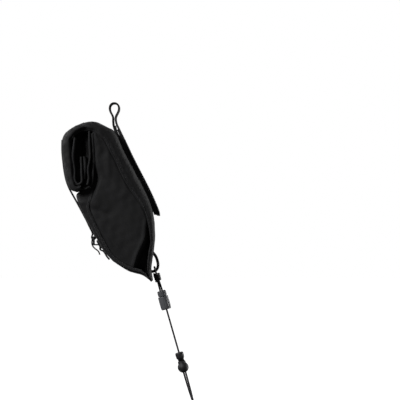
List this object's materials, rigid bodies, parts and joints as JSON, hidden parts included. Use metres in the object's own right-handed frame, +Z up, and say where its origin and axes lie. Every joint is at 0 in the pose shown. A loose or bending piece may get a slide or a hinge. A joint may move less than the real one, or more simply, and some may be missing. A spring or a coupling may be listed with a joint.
{
  "type": "saddle bag",
  "caption": "Roll-top saddle bag in black nylon with a hook-and-loop mounting strap, a hooked closure strap and a tether cord with two cord locks.",
  "frame": {"origin": "centre of the saddle bar that the mounting strap goes round", "axes": "+X forward along the bicycle, +Y to the bicycle's left, +Z up; the bag is symmetric across Y"},
  "size_m": [0.1636, 0.085, 0.347],
  "materials": {
    "bag_fabric": "coated woven nylon, matt",
    "board": "sheet plastic, matt",
    "tape": "grosgrain binding tape",
    "webbing": "woven nylon webbing",
    "loop_pile": "brushed loop pile",
    "hook_pile": "moulded hook pile",
    "closure_webbing": "thin nylon webbing",
    "cord": "braided nylon cord",
    "lock_plastic": "moulded acetal, satin",
    "ball_plastic": "moulded acetal, satin",
    "spring_steel": "spring wire",
    "wire": "black-coated steel, satin",
    "hook_wire": "black-coated steel wire"
  },
  "bodies": {
    "pouch": {"side_panel_right": "bag_fabric", "side_panel_left": "bag_fabric", "front_panel": "bag_fabric", "rear_panel": "bag_fabric", "back_board": "board", "binding_tape_right": "tape", "binding_tape_left": "tape", "mount_strap_base": "webbing", "loop_pile": "loop_pile", "tab_loop": "webbing", "anchor_ring": "wire", "anchor_webbing": "webbing"},
    "roll": {"roll_cover": "bag_fabric", "roll_fold": "bag_fabric", "roll_back_ply": "bag_fabric", "mouth_hem": "bag_fabric", "hem_strip": "board", "closure_root": "closure_webbing"},
    "closure": {"closure_strap": "closure_webbing"},
    "hook": {"strap_hook": "wire", "strap_tail": "closure_webbing"},
    "flap": {"mount_flap": "webbing", "hook_pile": "hook_pile"},
    "tether": {"upper_cord": "cord", "hitch_knot": "cord", "tether_cord": "cord", "lower_cord": "cord"},
    "barrel": {"barrel_body": "lock_plastic", "barrel_spring": "spring_steel"},
    "barrel_cap": {"barrel_cap": "lock_plastic"},
    "ball_lock": {"ball_body": "ball_plastic", "ball_spring": "spring_steel"},
    "ball_button": {"ball_button": "ball_plastic"},
    "end_hook": {"end_hook": "hook_wire"}
  },
  "joints": [
    {"name": "roll_open", "type": "hinge", "parent": "pouch", "child": "roll", "pos_m": [-0.0078, 0, -0.0213], "axis": [0, 1, 0], "range_deg": [0, 60]},
    {"name": "strap_swing", "type": "hinge", "parent": "roll", "child": "closure", "pos_m": [-0.0556, 0, -0.032], "axis": [0, 1, 0], "range_deg": [0, 100]},
    {"name": "hook_tilt", "type": "hinge", "parent": "closure", "child": "hook", "pos_m": [-0.0216, 0, -0.1344], "axis": [0, 1, 0], "range_deg": [0, 50]},
    {"name": "flap_peel", "type": "hinge", "parent": "pouch", "child": "flap", "pos_m": [0.0034, 0, -0.0192], "axis": [0, -1, 0], "range_deg": [0, 110]},
    {"name": "tether_swing", "type": "hinge", "parent": "pouch", "child": "tether", "pos_m": [0.0418, 0, -0.1664], "axis": [0, -1, 0], "range_deg": [-4, 60]},
    {"name": "barrel_slide", "type": "slide", "parent": "tether", "child": "barrel", "axis": [-0.2756, 0, 0.9613], "range_m": [0, 0.006]},
    {"name": "barrel_press", "type": "slide", "parent": "barrel", "child": "barrel_cap", "axis": [0.2756, 0, -0.9613], "range_m": [0, 0.0015], "stiffness_N_per_m": 300, "springref_m": -0.003, "deforming": ["barrel_spring"]},
    {"name": "ball_slide", "type": "slide", "parent": "tether", "child": "ball_lock", "axis": [-0.2756, 0, 0.9613], "range_m": [0, 0.03]},
    {"name": "ball_press", "type": "slide", "parent": "ball_lock", "child": "ball_button", "axis": [0.2756, 0, -0.9613], "range_m": [0, 0.0025], "stiffness_N_per_m": 300, "springref_m": -0.003, "deforming": ["ball_spring"]},
    {"name": "end_hook_swing", "type": "hinge", "parent": "tether", "child": "end_hook", "pos_m": [0.0835, 0, -0.31184], "axis": [0, 1, 0], "range_deg": [-60, 60]}
  ]
}
